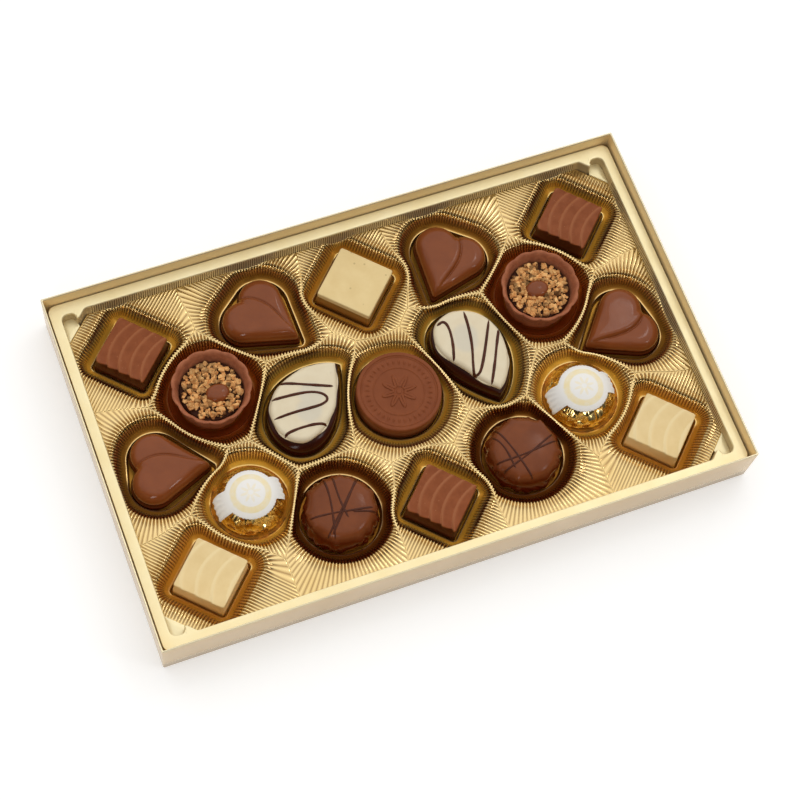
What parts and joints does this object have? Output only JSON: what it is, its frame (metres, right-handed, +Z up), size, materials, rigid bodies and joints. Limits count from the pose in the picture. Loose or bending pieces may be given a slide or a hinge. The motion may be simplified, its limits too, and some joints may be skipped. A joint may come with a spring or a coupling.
{
  "type": "chocolate box",
  "caption": "Open gift box: gold carton tray with a ribbed thermoformed insert whose shaped pockets hold assorted pralines that lift out.",
  "frame": {"origin": "middle of the carton floor's underside, on the table", "axes": "+X along the long side to the right, +Y to the back, +Z up out of the box"},
  "size_m": [0.2802, 0.1732, 0.0261],
  "materials": {
    "gold_board": "gold-laminated board, satin",
    "gold_sheet": "metallised gold sheet, glossy",
    "milk_chocolate": "satin",
    "dark_chocolate": "glossy",
    "cream_chocolate": "satin",
    "white_chocolate": "satin",
    "ivory_coat": "glossy",
    "chopped_nuts": "rough",
    "praline_filling": "matt",
    "gold_foil": "crinkled, shiny",
    "label_paper": "smooth white paper"
  },
  "bodies": {
    "carton": {"carton_floor": "gold_board", "carton_wall_front": "gold_board", "carton_wall_back": "gold_board", "carton_wall_left": "gold_board", "carton_wall_right": "gold_board"},
    "insert": {"insert_rim": "gold_sheet", "insert_step": "gold_sheet", "pocket_square_milk_back_left": "gold_sheet", "pocket_heart_back_left": "gold_sheet", "pocket_square_white_back": "gold_sheet", "pocket_heart_back_right": "gold_sheet", "pocket_square_milk_back_right": "gold_sheet", "pocket_nut_cup_left": "gold_sheet", "pocket_nut_cup_right": "gold_sheet", "pocket_heart_side_left": "gold_sheet", "pocket_petal_left": "gold_sheet", "pocket_medallion": "gold_sheet", "pocket_petal_right": "gold_sheet", "pocket_heart_side_right": "gold_sheet", "pocket_foil_ball_left": "gold_sheet", "pocket_foil_ball_right": "gold_sheet", "pocket_square_cream_front_left": "gold_sheet", "pocket_truffle_left": "gold_sheet", "pocket_square_milk_front": "gold_sheet", "pocket_truffle_right": "gold_sheet", "pocket_square_cream_front_right": "gold_sheet"},
    "square_milk_back_left": {"square_milk_back_left": "milk_chocolate"},
    "heart_back_left": {"heart_back_left": "milk_chocolate"},
    "square_white_back": {"square_white_back": "white_chocolate"},
    "heart_back_right": {"heart_back_right": "milk_chocolate"},
    "square_milk_back_right": {"square_milk_back_right": "milk_chocolate"},
    "nut_cup_left": {"nut_cup_left_shell": "milk_chocolate", "nut_cup_left_filling": "praline_filling", "nut_cup_left_nuts": "chopped_nuts", "nut_cup_left_button": "milk_chocolate"},
    "nut_cup_right": {"nut_cup_right_shell": "milk_chocolate", "nut_cup_right_filling": "praline_filling", "nut_cup_right_nuts": "chopped_nuts", "nut_cup_right_button": "milk_chocolate"},
    "heart_side_left": {"heart_side_left": "milk_chocolate"},
    "petal_left": {"petal_left_base": "dark_chocolate", "petal_left_coat": "ivory_coat"},
    "medallion": {"medallion": "milk_chocolate"},
    "petal_right": {"petal_right_base": "dark_chocolate", "petal_right_coat": "ivory_coat"},
    "heart_side_right": {"heart_side_right": "milk_chocolate"},
    "foil_ball_left": {"foil_ball_left_core": "milk_chocolate", "foil_ball_left_foil": "gold_foil", "foil_ball_left_label": "label_paper"},
    "foil_ball_right": {"foil_ball_right_core": "milk_chocolate", "foil_ball_right_foil": "gold_foil", "foil_ball_right_label": "label_paper"},
    "square_cream_front_left": {"square_cream_front_left": "cream_chocolate"},
    "truffle_left": {"truffle_left": "milk_chocolate"},
    "square_milk_front": {"square_milk_front": "milk_chocolate"},
    "truffle_right": {"truffle_right": "milk_chocolate"},
    "square_cream_front_right": {"square_cream_front_right": "cream_chocolate"}
  },
  "joints": [
    {"name": "insert_lift", "type": "slide", "parent": "carton", "child": "insert", "axis": [0, 0, 1], "range_m": [0, 0.04]},
    {"name": "square_milk_back_left_lift", "type": "slide", "parent": "insert", "child": "square_milk_back_left", "axis": [0, 0, 1], "range_m": [0, 0.03]},
    {"name": "heart_back_left_lift", "type": "slide", "parent": "insert", "child": "heart_back_left", "axis": [0, 0, 1], "range_m": [0, 0.03]},
    {"name": "square_white_back_lift", "type": "slide", "parent": "insert", "child": "square_white_back", "axis": [0, 0, 1], "range_m": [0, 0.03]},
    {"name": "heart_back_right_lift", "type": "slide", "parent": "insert", "child": "heart_back_right", "axis": [0, 0, 1], "range_m": [0, 0.03]},
    {"name": "square_milk_back_right_lift", "type": "slide", "parent": "insert", "child": "square_milk_back_right", "axis": [0, 0, 1], "range_m": [0, 0.03]},
    {"name": "nut_cup_left_lift", "type": "slide", "parent": "insert", "child": "nut_cup_left", "axis": [0, 0, 1], "range_m": [0, 0.03]},
    {"name": "nut_cup_right_lift", "type": "slide", "parent": "insert", "child": "nut_cup_right", "axis": [0, 0, 1], "range_m": [0, 0.03]},
    {"name": "heart_side_left_lift", "type": "slide", "parent": "insert", "child": "heart_side_left", "axis": [0, 0, 1], "range_m": [0, 0.03]},
    {"name": "petal_left_lift", "type": "slide", "parent": "insert", "child": "petal_left", "axis": [0, 0, 1], "range_m": [0, 0.03]},
    {"name": "medallion_lift", "type": "slide", "parent": "insert", "child": "medallion", "axis": [0, 0, 1], "range_m": [0, 0.03]},
    {"name": "petal_right_lift", "type": "slide", "parent": "insert", "child": "petal_right", "axis": [0, 0, 1], "range_m": [0, 0.03]},
    {"name": "heart_side_right_lift", "type": "slide", "parent": "insert", "child": "heart_side_right", "axis": [0, 0, 1], "range_m": [0, 0.03]},
    {"name": "foil_ball_left_lift", "type": "slide", "parent": "insert", "child": "foil_ball_left", "axis": [0, 0, 1], "range_m": [0, 0.03]},
    {"name": "foil_ball_right_lift", "type": "slide", "parent": "insert", "child": "foil_ball_right", "axis": [0, 0, 1], "range_m": [0, 0.03]},
    {"name": "square_cream_front_left_lift", "type": "slide", "parent": "insert", "child": "square_cream_front_left", "axis": [0, 0, 1], "range_m": [0, 0.03]},
    {"name": "truffle_left_lift", "type": "slide", "parent": "insert", "child": "truffle_left", "axis": [0, 0, 1], "range_m": [0, 0.03]},
    {"name": "square_milk_front_lift", "type": "slide", "parent": "insert", "child": "square_milk_front", "axis": [0, 0, 1], "range_m": [0, 0.03]},
    {"name": "truffle_right_lift", "type": "slide", "parent": "insert", "child": "truffle_right", "axis": [0, 0, 1], "range_m": [0, 0.03]},
    {"name": "square_cream_front_right_lift", "type": "slide", "parent": "insert", "child": "square_cream_front_right", "axis": [0, 0, 1], "range_m": [0, 0.03]}
  ]
}
